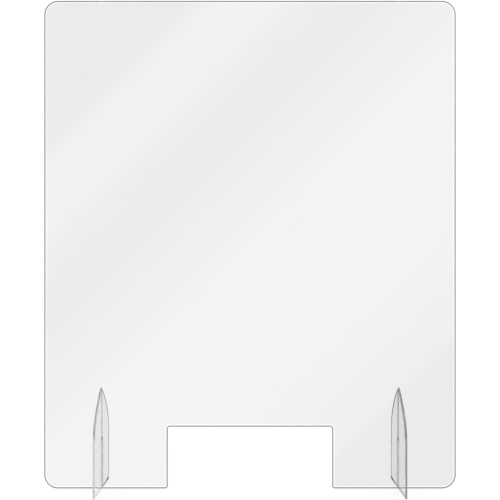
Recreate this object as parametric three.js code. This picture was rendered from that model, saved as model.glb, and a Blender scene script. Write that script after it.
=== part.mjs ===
// A free-standing clear acrylic desk screen: one upright panel on two plate feet.
// The feet stand square to the panel. Each foot is slotted from its tip down and the panel
// is slotted from its bottom edge up, so the sheets halve into each other with no fastener,
// and the panel lifts straight up off its feet.
//
// Millimetres, +Z up. The origin is the middle of the footprint, on the desk.
// +X is to the right, and the front of the screen faces -Y.

import * as THREE from "three";

// Panel
const PANEL_WIDTH = 762;
const PANEL_HEIGHT = 903;
const PANEL_THICKNESS = 4.8;
const PANEL_CORNER_RADIUS = 25.4;

// Pass-through notch in the middle of the panel's bottom edge
const NOTCH_WIDTH = 304.8;
const NOTCH_HEIGHT = 114.3;
const NOTCH_CORNER_RADIUS = 4.5;

// Feet: straight sides up to the springing, then a pointed arch to the tip
const FOOT_SPACING = 551;
const FOOT_DEPTH = 177.8;
const FOOT_HEIGHT = 187;
const FOOT_SPRINGING_HEIGHT = 97;
const FOOT_THICKNESS = 3.2;

// Halving joint: the clearance is on each side of a slot and at its closed end
const SLOT_CLEARANCE = 0.3;
const LAP_HEIGHT = FOOT_HEIGHT / 2;

// Straight pieces along each side of an arch; a rounded corner is drawn with twice as many
const CURVE_SEGMENTS = 24;

function clearAcrylic(color, opacity) {
  return new THREE.MeshStandardMaterial({
    color,
    opacity,
    transparent: true,
    roughness: 0.06,
    metalness: 0,
  });
}

// A closed outline through square corners, counter-clockwise. A corner with a radius is
// rounded, and the first corner has one.
function outlineThrough(corners) {
  const outline = new THREE.Shape();
  corners.forEach(({ x, z, radius }, index) => {
    if (!radius) {
      outline.lineTo(x, z);
      return;
    }
    const corner = new THREE.Vector2(x, z);
    const before = corners.at(index - 1);
    const after = corners[(index + 1) % corners.length];
    const back = new THREE.Vector2(before.x, before.z).sub(corner).normalize();
    const onward = new THREE.Vector2(after.x, after.z).sub(corner).normalize();
    const centre = corner.clone().add(back.clone().add(onward).multiplyScalar(radius));
    const startAngle = Math.atan2(-onward.y, -onward.x);
    const endAngle = Math.atan2(-back.y, -back.x);
    const clockwise = back.cross(onward) > 0;
    outline.absarc(centre.x, centre.y, radius, startAngle, endAngle, clockwise);
  });
  outline.closePath();
  return outline;
}

// The slot that a foot standing at x needs in the panel, open at the bottom edge.
function footSlot(x) {
  const halfWidth = FOOT_THICKNESS / 2 + SLOT_CLEARANCE;
  const top = LAP_HEIGHT + SLOT_CLEARANCE;
  return [
    { x: x - halfWidth, z: 0 },
    { x: x - halfWidth, z: top },
    { x: x + halfWidth, z: top },
    { x: x + halfWidth, z: 0 },
  ];
}

function notch() {
  const side = NOTCH_WIDTH / 2;
  const radius = NOTCH_CORNER_RADIUS;
  return [
    { x: -side, z: 0, radius },
    { x: -side, z: NOTCH_HEIGHT, radius },
    { x: side, z: NOTCH_HEIGHT, radius },
    { x: side, z: 0, radius },
  ];
}

function panelOutline() {
  const side = PANEL_WIDTH / 2;
  const radius = PANEL_CORNER_RADIUS;
  return outlineThrough([
    { x: -side, z: 0, radius },
    ...footSlot(-FOOT_SPACING / 2),
    ...notch(),
    ...footSlot(FOOT_SPACING / 2),
    { x: side, z: 0, radius },
    { x: side, z: PANEL_HEIGHT, radius },
    { x: -side, z: PANEL_HEIGHT, radius },
  ]);
}

// A foot seen from its side: x runs from the back of the screen to its front.
function footOutline() {
  const halfDepth = FOOT_DEPTH / 2;
  const halfSlot = PANEL_THICKNESS / 2 + SLOT_CLEARANCE;
  const slotBottom = LAP_HEIGHT - SLOT_CLEARANCE;
  const midArch = (FOOT_SPRINGING_HEIGHT + FOOT_HEIGHT) / 2;
  const outline = new THREE.Shape();
  outline.moveTo(-halfDepth, 0);
  outline.lineTo(halfDepth, 0);
  outline.lineTo(halfDepth, FOOT_SPRINGING_HEIGHT);
  outline.quadraticCurveTo(halfDepth, midArch, halfSlot, FOOT_HEIGHT);
  outline.lineTo(halfSlot, slotBottom);
  outline.lineTo(-halfSlot, slotBottom);
  outline.lineTo(-halfSlot, FOOT_HEIGHT);
  outline.quadraticCurveTo(-halfDepth, midArch, -halfDepth, FOOT_SPRINGING_HEIGHT);
  outline.closePath();
  return outline;
}

// A flat sheet cut to an outline and stood upright, its thickness centred on Y = 0.
function uprightSheet(name, outline, thickness, material) {
  const geometry = new THREE.ExtrudeGeometry(outline, {
    depth: thickness,
    bevelEnabled: false,
    curveSegments: CURVE_SEGMENTS,
  });
  geometry.translate(0, 0, -thickness / 2);
  geometry.rotateX(Math.PI / 2);
  const sheet = new THREE.Mesh(geometry, material);
  sheet.name = name;
  return sheet;
}

function foot(name, x, material) {
  const sheet = uprightSheet(name, footOutline(), FOOT_THICKNESS, material);
  sheet.rotation.z = -Math.PI / 2;
  sheet.position.x = x;
  return sheet;
}

const panelAcrylic = clearAcrylic(0xf0f2f1, 0.25);
const footAcrylic = clearAcrylic(0xe4e9e6, 0.35);

const screen = new THREE.Group();
screen.add(uprightSheet("panel", panelOutline(), PANEL_THICKNESS, panelAcrylic));
screen.add(foot("left_foot", -FOOT_SPACING / 2, footAcrylic));
screen.add(foot("right_foot", FOOT_SPACING / 2, footAcrylic));

export default screen;
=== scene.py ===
import math

import bmesh
import bpy
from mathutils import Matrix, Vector
from mathutils.geometry import intersect_line_line_2d


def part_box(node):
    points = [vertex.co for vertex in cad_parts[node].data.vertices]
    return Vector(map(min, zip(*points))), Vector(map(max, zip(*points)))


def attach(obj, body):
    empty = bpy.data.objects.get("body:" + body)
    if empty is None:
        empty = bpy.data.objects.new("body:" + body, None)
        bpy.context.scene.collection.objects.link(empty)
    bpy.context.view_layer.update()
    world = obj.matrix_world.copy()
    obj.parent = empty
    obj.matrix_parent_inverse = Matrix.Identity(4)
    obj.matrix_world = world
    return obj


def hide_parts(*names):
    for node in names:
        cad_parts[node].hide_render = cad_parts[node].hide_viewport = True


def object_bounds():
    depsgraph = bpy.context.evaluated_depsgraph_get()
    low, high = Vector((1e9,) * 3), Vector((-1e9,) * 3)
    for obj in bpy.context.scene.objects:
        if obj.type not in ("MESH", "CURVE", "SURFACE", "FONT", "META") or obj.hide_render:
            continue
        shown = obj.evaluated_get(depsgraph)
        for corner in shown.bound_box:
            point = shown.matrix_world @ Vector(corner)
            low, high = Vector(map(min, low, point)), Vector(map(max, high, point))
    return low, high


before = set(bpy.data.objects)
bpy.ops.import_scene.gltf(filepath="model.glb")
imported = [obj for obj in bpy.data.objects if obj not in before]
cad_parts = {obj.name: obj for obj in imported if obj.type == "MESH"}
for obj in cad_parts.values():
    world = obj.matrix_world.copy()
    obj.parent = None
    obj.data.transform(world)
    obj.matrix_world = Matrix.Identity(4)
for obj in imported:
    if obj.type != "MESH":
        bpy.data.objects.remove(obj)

# A clear acrylic desk screen: a panel halved into two plate feet.
# Metres, +Z up, and the front of the screen faces -Y.
MM = 0.001
X, Y, Z = 0, 1, 2
QUARTER_TURN = math.pi / 2

cad_low, cad_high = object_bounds()

# The cut edge of a sheet, from its wall inwards: a rounding, then shallow polished slopes.
# Each is a width and a depth.
ROUNDING_STEPS = 4
ROUNDING_SWEEP = math.radians(60)
PANEL_ROUNDING = (2.2 * MM, 1.5 * MM)
PANEL_SLOPES = [(2.0 * MM, 0.2 * MM)]
FOOT_ROUNDING = (0.6 * MM, 0.5 * MM)
FOOT_SLOPES = [(4.5 * MM, 0.15 * MM), (8.0 * MM, 0.13 * MM)]

# The slots are finished less: their edges keep this much of the widths above.
# A slot's walls lie within SLOT_REACH of its middle.
PANEL_SLOT_FINISH = 0.3
FOOT_SLOT_FINISH = 0.35
SLOT_REACH = 4.0 * MM

# Reading a CAD sheet: points this close are one, and so are faces within this angle
SAME_POINT = 0.001 * MM
SAME_PLANE = math.radians(0.5)

# Insetting an outline. An edge runs straight on when the cosine of its turn is above this.
# At a corner that turns further than POINTED, the inset may swallow up to MOST_SWALLOWED
# points on each side, the corner itself among them.
STRAIGHT_ON = 0.999
POINTED = math.radians(100)
MOST_SWALLOWED = 9

# Shading: an edge that turns further than this stays sharp, and a weight above 50 lets the
# large faces lead the normals
SHARP = math.radians(40)
LARGE_FACE_WEIGHT = 100

# Acrylic. Each of four tints belongs to a band of tilt off the sheet's flat, in degrees: the
# flat with the shallowest slope, the other slopes, the rounding, and the wall. These tints are
# painted light and shade: darker bands are painted shade that draws the dark edge lines, and a
# clearer band is a painted highlight line. The finish of the faces gives way to that of the
# edges over EDGE_TILT.
IOR = 1.49
TILTS = ((0.0, 1.05), (1.7, 9.0), (12.0, 60.0), (65.0, 90.0))
EDGE_TILT = (math.radians(9), math.radians(15))
ABSORPTION_COLOUR = (0.0, 0.22, 0.1, 1)

# Finish of the flat faces: smudges in the polish, and slow waves
SMUDGES = {"Scale": 11.0, "Detail": 4.0}
SMUDGE_RANGE = (0.5, 0.75)
SMUDGE_ROUGHNESS = (0.0, 0.02)
WAVES = {"Scale": 7.0, "Detail": 1.0}
WAVE_HEIGHT = 0.06 * MM

# Finish of the edges: fine marks stretched through the sheet. The slots are left rough.
CUT_MARKS = {"Scale": 260.0, "Detail": 3.0}
CUT_STRETCH = 0.02
CUT_RANGE = (0.3, 0.7)
CUT_ROUGHNESS = (0.03, 0.12)
CUT_HEIGHT = 0.025 * MM
SLOT_ROUGHNESS = 0.6

# Floor
FLOOR_HALF_WIDTH = 30.0
FLOOR_GAP = 0.2 * MM
FLOOR_COLOUR = (0.25, 0.25, 0.25, 1)
FLOOR_GLOW = 0.75

# Brightness of the studio as the camera sees it, and as the sheets reflect it
WHITE = 1.1
REFLECTED_DARK = 0.05
REFLECTED_GREY = 0.93
REFLECTED_WHITE = 1.07
TRAPPED_WHITE = 0.97

# Thresholds on a ray's depths, which are whole numbers: past one of these it has been
# reflected or refracted at least that many times
ONE_REFLECTION = 0.5
TWO_REFLECTIONS = 1.5
FOUR_REFLECTIONS = 3.5
ONE_REFRACTION = 0.5
THREE_REFRACTIONS = 2.5

# Directions are placed by their tangents off the Y axis, and a least part along Y keeps the
# tangents finite
LEAST_ALONG_Y = 0.05

# Soft diagonal light strips in front of the screen: the places where their brightness
# changes, as the tangent sideways less the tangent upwards, and the brightness there.
# The middle of their ramp stands for straight ahead.
STRIP_BRIGHTNESS = 1.75
LIGHT_STRIPS = (
    (-0.37, 0.0), (-0.32, 0.85), (-0.28, 0.85), (-0.22, 0.25), (-0.17, 0.1), (-0.13, 0.45),
    (-0.08, 0.65), (-0.03, 1.0), (0.14, 1.0), (0.26, 0.6), (0.29, 0.0),
)
STRIPS_MIDDLE = 0.5

# Behind the screen: grey on the left turning to white on the right, a diagonal light strip,
# and straight behind it a dark card, whose reflection draws the edges of the feet. The card
# fades out between two tangents sideways, and between two parts of a direction along Y.
GREY_TO_WHITE = (-0.17, 0.17)
BACK_STRIP = 0.9
BACK_STRIP_START = (1.15, 1.3)
BACK_STRIP_END = (1.5, 1.6)
CARD_SIDE = (0.129, 0.141)
CARD_END = (0.93, 0.85)

# Where a direction's part along Y lets what is in front give way to what is behind
FRONT_TO_BACK = (-0.6, -0.3)

# Camera, level and looking along +Y
VIEW_DISTANCE = 1.755
VIEW_HEIGHT = 0.386
LENS = 68.2
SHIFT_UP = 0.06

# Light that is caught between the faces of a sheet bounces many times
MOST_REFLECTIONS = 96
MOST_REFRACTIONS = 24


# ---- sheets ----

def cad_outline(node, thin):
    """The outline of a CAD sheet, as points in order round its cap on the positive side."""
    sheet = bmesh.new()
    sheet.from_mesh(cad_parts[node].data)
    bmesh.ops.remove_doubles(sheet, verts=sheet.verts, dist=SAME_POINT)
    bmesh.ops.dissolve_limit(
        sheet, angle_limit=SAME_PLANE, verts=sheet.verts, edges=sheet.edges)
    cap = max(sheet.faces, key=lambda face: face.normal[thin] * face.calc_area())
    outline = [vertex.co.copy() for vertex in cap.verts]
    sheet.free()
    return outline


def inset_directions(outline, thin, finish):
    """How far each point of the outline moves for an inset of one, slot edges moving less."""
    axis = Vector([float(index == thin) for index in (X, Y, Z)])
    count = len(outline)
    inward, amount = [], []
    for index, start in enumerate(outline):
        end = outline[(index + 1) % count]
        inward.append(axis.cross((end - start).normalized()))
        amount.append(finish(start, end))
    directions = []
    for index in range(count):
        before, after = inward[index - 1], inward[index]
        near, far = amount[index - 1], amount[index]
        turn = before.dot(after)
        if turn > STRAIGHT_ON:
            directions.append(before * near)
        else:
            # To where the two edges meet once each has moved in by its own amount
            directions.append(
                (before * (near - far * turn) + after * (far - near * turn)) / (1 - turn ** 2))
    return directions


def untangle(ring, outline, thin):
    """Moves the points that an inset takes past a pointed corner back to the new corner."""
    across, along = (thin + 1) % 3, (thin + 2) % 3
    count = len(ring)

    def flat(index):
        point = ring[index % count]
        return Vector((point[across], point[along]))

    for tip in range(count):
        before = outline[tip] - outline[tip - 1]
        after = outline[(tip + 1) % count] - outline[tip]
        if before.angle(after) < POINTED:
            continue
        for step in (-1, 1):
            for last in range(1, MOST_SWALLOWED):
                crossing = intersect_line_line_2d(
                    flat(tip + step * (last + 1)), flat(tip + step * last),
                    flat(tip), flat(tip - step))
                if crossing:
                    for place in range(last + 1):
                        point = ring[(tip + step * place) % count]
                        point[across], point[along] = crossing
                    break


def edge_profile(half, rounding, slopes):
    """Inset and height of each ring of points, from the wall to the flat of the sheet."""
    width, depth = rounding
    wall_top = half - depth - sum(fall for _, fall in slopes)
    rings = []
    for step in range(ROUNDING_STEPS + 1):
        sweep = ROUNDING_SWEEP * step / ROUNDING_STEPS
        inset = width * (1 - math.cos(sweep)) / (1 - math.cos(ROUNDING_SWEEP))
        rise = depth * math.sin(sweep) / math.sin(ROUNDING_SWEEP)
        rings.append((inset, wall_top + rise))
    for run, fall in slopes:
        inset, height = rings[-1]
        rings.append((inset + run, height + fall))
    return rings


def edge_faces(count, rings):
    """The two caps, and the strips of faces between rings that have this many points each."""
    total = count * rings
    faces = [list(range(count)), list(range(total - 1, total - count - 1, -1))]
    for ring in range(rings - 1):
        here, there = ring * count, (ring + 1) * count
        for index in range(count):
            following = (index + 1) % count
            faces.append((here + index, there + index, there + following, here + following))
    return faces


def smooth_mesh(name, points, faces):
    """A mesh without doubled points, smooth except at its sharp edges."""
    mesh = bpy.data.meshes.new(name)
    mesh.from_pydata(points, [], faces)
    sheet = bmesh.new()
    sheet.from_mesh(mesh)
    bmesh.ops.remove_doubles(sheet, verts=sheet.verts, dist=SAME_POINT)
    for face in sheet.faces:
        face.smooth = True
    sheet.to_mesh(mesh)
    sheet.free()
    mesh.set_sharp_from_angle(angle=SHARP)
    return mesh


def polished_sheet(name, node, thin, rounding, slopes, finish):
    """A piece that stands for a CAD sheet, with rounded edges and shallow slopes beside them."""
    low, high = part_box(node)
    middle = (low[thin] + high[thin]) / 2
    outline = cad_outline(node, thin)
    directions = inset_directions(outline, thin, finish)
    upper = edge_profile((high[thin] - low[thin]) / 2, rounding, slopes)
    rings = upper[::-1] + [(inset, -height) for inset, height in upper]
    points = []
    for inset, height in rings:
        ring = [corner + direction * inset for corner, direction in zip(outline, directions)]
        untangle(ring, outline, thin)
        for point in ring:
            point[thin] = middle + height
        points += ring
    mesh = smooth_mesh(name, points, edge_faces(len(outline), len(rings)))
    piece = bpy.data.objects.new(name, mesh)
    bpy.context.scene.collection.objects.link(piece)
    even = piece.modifiers.new("even_normals", "WEIGHTED_NORMAL")
    even.mode = "FACE_AREA"
    even.weight = LARGE_FACE_WEIGHT
    even.keep_sharp = True
    return piece


# ---- materials ----

# A Mix node's colour sockets share their names with its number sockets
COLOUR_A, COLOUR_B, COLOUR_RESULT = 6, 7, 2


def grey(value):
    return (value, value, value)


class NodeBuilder:
    """Short calls for adding linked shader nodes to one node tree."""

    def __init__(self, tree):
        self.nodes, self.links = tree.nodes, tree.links

    def add(self, kind, settings=None, **inputs):
        node = self.nodes.new(kind)
        for name, value in (settings or {}).items():
            setattr(node, name, value)
        for name, value in inputs.items():
            self.put(node.inputs[name.replace("_", " ")], value)
        return node

    def put(self, socket, value):
        if isinstance(value, bpy.types.NodeSocket):
            self.links.new(value, socket)
        else:
            socket.default_value = value

    def math(self, operation, first, second=0.0):
        node = self.nodes.new("ShaderNodeMath")
        node.operation = operation
        self.put(node.inputs[0], first)
        self.put(node.inputs[1], second)
        return node.outputs[0]

    def rise(self, value, start, end, low=0.0, high=1.0):
        """Goes smoothly from low to high as value goes from start to end."""
        node = self.nodes.new("ShaderNodeMapRange")
        node.interpolation_type = "SMOOTHSTEP"
        for name, number in (("From Min", start), ("From Max", end),
                             ("To Min", low), ("To Max", high)):
            node.inputs[name].default_value = number
        self.put(node.inputs["Value"], value)
        return node.outputs["Result"]

    def mix_number(self, amount, first, second):
        node = self.nodes.new("ShaderNodeMix")
        self.put(node.inputs["Factor"], amount)
        self.put(node.inputs["A"], first)
        self.put(node.inputs["B"], second)
        return node.outputs["Result"]

    def mix_colour(self, amount, first, second):
        node = self.add("ShaderNodeMix", {"data_type": "RGBA"})
        self.put(node.inputs["Factor"], amount)
        self.put(node.inputs[COLOUR_A], first)
        self.put(node.inputs[COLOUR_B], second)
        return node.outputs[COLOUR_RESULT]

    def ramp(self, value, stops, interpolation="LINEAR"):
        """Colours that value passes through, each stop being a place from 0 to 1 and a colour."""
        node = self.nodes.new("ShaderNodeValToRGB")
        self.put(node.inputs["Fac"], value)
        node.color_ramp.interpolation = interpolation
        elements = node.color_ramp.elements
        while len(elements) < len(stops):
            elements.new(0.5)
        for element, (place, colour) in zip(elements, stops):
            element.position = place
            element.color = (*colour, 1)
        return node.outputs["Color"]


def clear_acrylic(name, thin, across, slots, painted_light_and_shade, slot_painted_shade, density):
    """Clear sheet: its flat faces, slopes, rounding and walls each get a tint of painted light
    and shade.

    The slots stand at these places along the axis that runs across the sheet.
    """
    material = bpy.data.materials.new(name)
    material.use_nodes = True
    build = NodeBuilder(material.node_tree)
    shader = build.nodes["Principled BSDF"]
    shader.inputs["Transmission Weight"].default_value = 1.0
    shader.inputs["IOR"].default_value = IOR

    geometry = build.add("ShaderNodeNewGeometry")
    facing = build.add("ShaderNodeSeparateXYZ", Vector=geometry.outputs["True Normal"])
    tilt = build.math("ARCCOSINE", build.math("ABSOLUTE", facing.outputs[thin]))
    # Painted shade and painted highlight: a tint for each band of tilt, which draws the edge
    # lines
    painted_tint = build.ramp(build.math("DIVIDE", tilt, QUARTER_TURN), [
        (math.radians(degrees) / QUARTER_TURN, colour)
        for band, colour in zip(TILTS, painted_light_and_shade) for degrees in band])
    on_edge = build.rise(tilt, *EDGE_TILT)
    place = build.add("ShaderNodeTexCoord").outputs["Object"]
    along = build.add("ShaderNodeSeparateXYZ", Vector=place).outputs[across]
    off_slot = 1.0
    for slot in slots:
        distance = build.math("ABSOLUTE", build.math("SUBTRACT", along, slot))
        off_slot = build.math(
            "MINIMUM", off_slot, build.rise(distance, SLOT_REACH, SLOT_REACH + MM))
    in_slot = build.math("MULTIPLY", on_edge, build.math("SUBTRACT", 1.0, off_slot))
    # Painted shade along the slots: their rounding and walls take the slot tint
    painted_tint = build.mix_colour(in_slot, painted_tint, (*slot_painted_shade, 1))
    build.links.new(painted_tint, shader.inputs["Base Color"])

    smudges = build.add("ShaderNodeTexNoise", Vector=place, **SMUDGES)
    smudge = build.rise(smudges.outputs["Fac"], *SMUDGE_RANGE, *SMUDGE_ROUGHNESS)
    stretched = build.add("ShaderNodeMapping", Vector=place)
    stretched.inputs["Scale"].default_value = [
        CUT_STRETCH if axis == thin else 1.0 for axis in (X, Y, Z)]
    cut_marks = build.add("ShaderNodeTexNoise", Vector=stretched.outputs["Vector"], **CUT_MARKS)
    cut_roughness = build.rise(cut_marks.outputs["Fac"], *CUT_RANGE, *CUT_ROUGHNESS)
    roughness = build.mix_number(
        in_slot, build.mix_number(on_edge, smudge, cut_roughness), SLOT_ROUGHNESS)
    build.links.new(roughness, shader.inputs["Roughness"])

    waves = build.add("ShaderNodeTexNoise", Vector=place, **WAVES)
    height = build.mix_number(
        on_edge, build.math("MULTIPLY", waves.outputs["Fac"], WAVE_HEIGHT),
        build.math("MULTIPLY", cut_marks.outputs["Fac"], CUT_HEIGHT))
    bump = build.add("ShaderNodeBump", Height=height, Distance=1.0, Strength=1.0)
    build.links.new(bump.outputs["Normal"], shader.inputs["Normal"])

    volume = build.add("ShaderNodeVolumeAbsorption", Density=density, Color=ABSORPTION_COLOUR)
    build.links.new(volume.outputs["Volume"], build.nodes["Material Output"].inputs["Volume"])
    return material


# ---- the pieces ----

# Tints, in the order of TILTS, and densities of absorption. The tints are painted light and
# shade: the panel's clear slopes are a painted highlight line inside its edge, and the darker
# bands and slot tints are painted shade that draws the edge lines.
PANEL_PAINTED_LIGHT_AND_SHADE = [grey(0.815), grey(1.0), grey(0.22), grey(0.5)]
PANEL_SLOT_PAINTED_SHADE = grey(0.35)
PANEL_ABSORPTION = 0.3
# Painted shade on the feet: dark slopes, roundings and walls draw their edge lines, and the right
# foot is painted darker all over than the left
FOOT_PAINTED_SHADE = {
    "left_foot": [grey(0.96), (0.55, 0.57, 0.56), grey(0.6), grey(0.7)],
    "right_foot": [(0.84, 0.87, 0.86), (0.15, 0.17, 0.16), (0.3, 0.32, 0.31), (0.36, 0.38, 0.37)],
}
# The slot tint lightens that painted shade on the walls within the slots
FOOT_SLOT_PAINTED_SHADE = (0.93, 0.95, 0.94)
FOOT_ABSORPTION = 0.5

FEET = ("left_foot", "right_foot")
foot_places = [(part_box(foot)[0].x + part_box(foot)[1].x) / 2 for foot in FEET]


# How much of an edge's width is finished, for the edge from start to end of the outline

def panel_finish(start, end):
    in_slot = any(abs(start.x - place) < SLOT_REACH and abs(end.x - place) < SLOT_REACH
                  for place in foot_places)
    return PANEL_SLOT_FINISH if in_slot else 1.0


def foot_finish(start, end):
    in_slot = abs(start.y) < SLOT_REACH and abs(end.y) < SLOT_REACH
    return FOOT_SLOT_FINISH if in_slot else 1.0


panel = polished_sheet(
    "screen_panel", "panel", Y, PANEL_ROUNDING, PANEL_SLOPES, panel_finish)
panel.data.materials.append(clear_acrylic(
    "panel_sheet", thin=Y, across=X, slots=foot_places, painted_light_and_shade=PANEL_PAINTED_LIGHT_AND_SHADE,
    slot_painted_shade=PANEL_SLOT_PAINTED_SHADE, density=PANEL_ABSORPTION))
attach(panel, "panel")
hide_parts("panel")

for foot in FEET:
    plate = polished_sheet(
        foot + "_plate", foot, X, FOOT_ROUNDING, FOOT_SLOPES, foot_finish)
    plate.data.materials.append(clear_acrylic(
        foot + "_sheet", thin=X, across=Y, slots=[0.0], painted_light_and_shade=FOOT_PAINTED_SHADE[foot],
        slot_painted_shade=FOOT_SLOT_PAINTED_SHADE, density=FOOT_ABSORPTION))
    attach(plate, foot)
    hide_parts(foot)


# ---- stage ----

def make_floor():
    mesh = bpy.data.meshes.new("floor")
    half = FLOOR_HALF_WIDTH
    corners = [(-half, -half, 0), (half, -half, 0), (half, half, 0), (-half, half, 0)]
    mesh.from_pydata(corners, [], [(0, 1, 2, 3)])
    floor = bpy.data.objects.new("floor", mesh)
    bpy.context.scene.collection.objects.link(floor)
    floor.location.z = cad_low.z - FLOOR_GAP
    material = bpy.data.materials.new("floor")
    material.use_nodes = True
    shader = material.node_tree.nodes["Principled BSDF"]
    shader.inputs["Base Color"].default_value = FLOOR_COLOUR
    shader.inputs["Roughness"].default_value = 1.0
    shader.inputs["Specular IOR Level"].default_value = 0.0
    shader.inputs["Emission Color"].default_value = (1, 1, 1, 1)
    shader.inputs["Emission Strength"].default_value = FLOOR_GLOW * WHITE
    mesh.materials.append(material)
    floor.visible_glossy = False
    floor.visible_transmission = False


def make_world():
    """Even white for the camera, and light strips and dark cards for what the sheets reflect."""
    world = bpy.data.worlds.new("studio")
    bpy.context.scene.world = world
    world.use_nodes = True
    build = NodeBuilder(world.node_tree)
    path = build.add("ShaderNodeLightPath").outputs
    reflections, refractions = path["Glossy Depth"], path["Transmission Depth"]
    direction = build.add("ShaderNodeTexCoord").outputs["Generated"]
    toward = build.add("ShaderNodeSeparateXYZ", Vector=direction).outputs

    ahead = build.math("MAXIMUM", build.math("MULTIPLY", toward["Y"], -1.0), LEAST_ALONG_Y)
    aslant_ahead = build.math(
        "DIVIDE", build.math("SUBTRACT", toward["X"], toward["Z"]), ahead)
    strips = build.ramp(
        build.math("ADD", aslant_ahead, STRIPS_MIDDLE),
        [(place + STRIPS_MIDDLE, grey(bright)) for place, bright in LIGHT_STRIPS], "EASE")
    outside = build.math("LESS_THAN", refractions, ONE_REFRACTION)
    in_front = build.math("MAXIMUM", REFLECTED_DARK, build.math(
        "MULTIPLY", outside, build.math("MULTIPLY", strips, STRIP_BRIGHTNESS)))

    away = build.math("MAXIMUM", toward["Y"], LEAST_ALONG_Y)
    sideways = build.math("DIVIDE", toward["X"], away)
    beside_card = build.rise(build.math("ABSOLUTE", sideways), *CARD_SIDE)
    past_card = build.math("MAXIMUM", build.rise(away, *CARD_END), build.math(
        "MAXIMUM", build.math("GREATER_THAN", reflections, TWO_REFLECTIONS),
        build.math("GREATER_THAN", refractions, THREE_REFRACTIONS)))
    off_card = build.math("MAXIMUM", beside_card, past_card)
    lit = build.rise(toward["X"], *GREY_TO_WHITE, REFLECTED_GREY, REFLECTED_WHITE)
    aslant = build.math("SUBTRACT", sideways, build.math("DIVIDE", toward["Z"], away))
    back_strip = build.math("SUBTRACT", build.rise(aslant, *BACK_STRIP_START, 0.0, BACK_STRIP),
                            build.rise(aslant, *BACK_STRIP_END, 0.0, BACK_STRIP))
    in_back = build.mix_number(off_card, REFLECTED_DARK, build.math("ADD", lit, back_strip))

    reflected = build.mix_number(build.rise(toward["Y"], *FRONT_TO_BACK), in_front, in_back)
    trapped = build.math("GREATER_THAN", reflections, FOUR_REFLECTIONS)
    reflected = build.mix_number(trapped, reflected, TRAPPED_WHITE)
    seen_reflected = build.math("GREATER_THAN", reflections, ONE_REFLECTION)
    strength = build.mix_number(seen_reflected, WHITE, reflected)
    build.links.new(strength, build.nodes["Background"].inputs["Strength"])
    build.nodes["Background"].inputs["Color"].default_value = (1, 1, 1, 1)


def make_camera():
    lens = bpy.data.cameras.new("camera")
    lens.lens = LENS
    lens.shift_y = SHIFT_UP
    camera = bpy.data.objects.new("camera", lens)
    bpy.context.scene.collection.objects.link(camera)
    camera.location = (0, -VIEW_DISTANCE, VIEW_HEIGHT)
    camera.rotation_euler = (QUARTER_TURN, 0, 0)
    bpy.context.scene.camera = camera


make_floor()
make_world()
make_camera()
scene = bpy.context.scene
scene.view_settings.view_transform = "Standard"
scene.cycles.max_bounces = MOST_REFLECTIONS
scene.cycles.glossy_bounces = MOST_REFLECTIONS
scene.cycles.transmission_bounces = MOST_REFRACTIONS
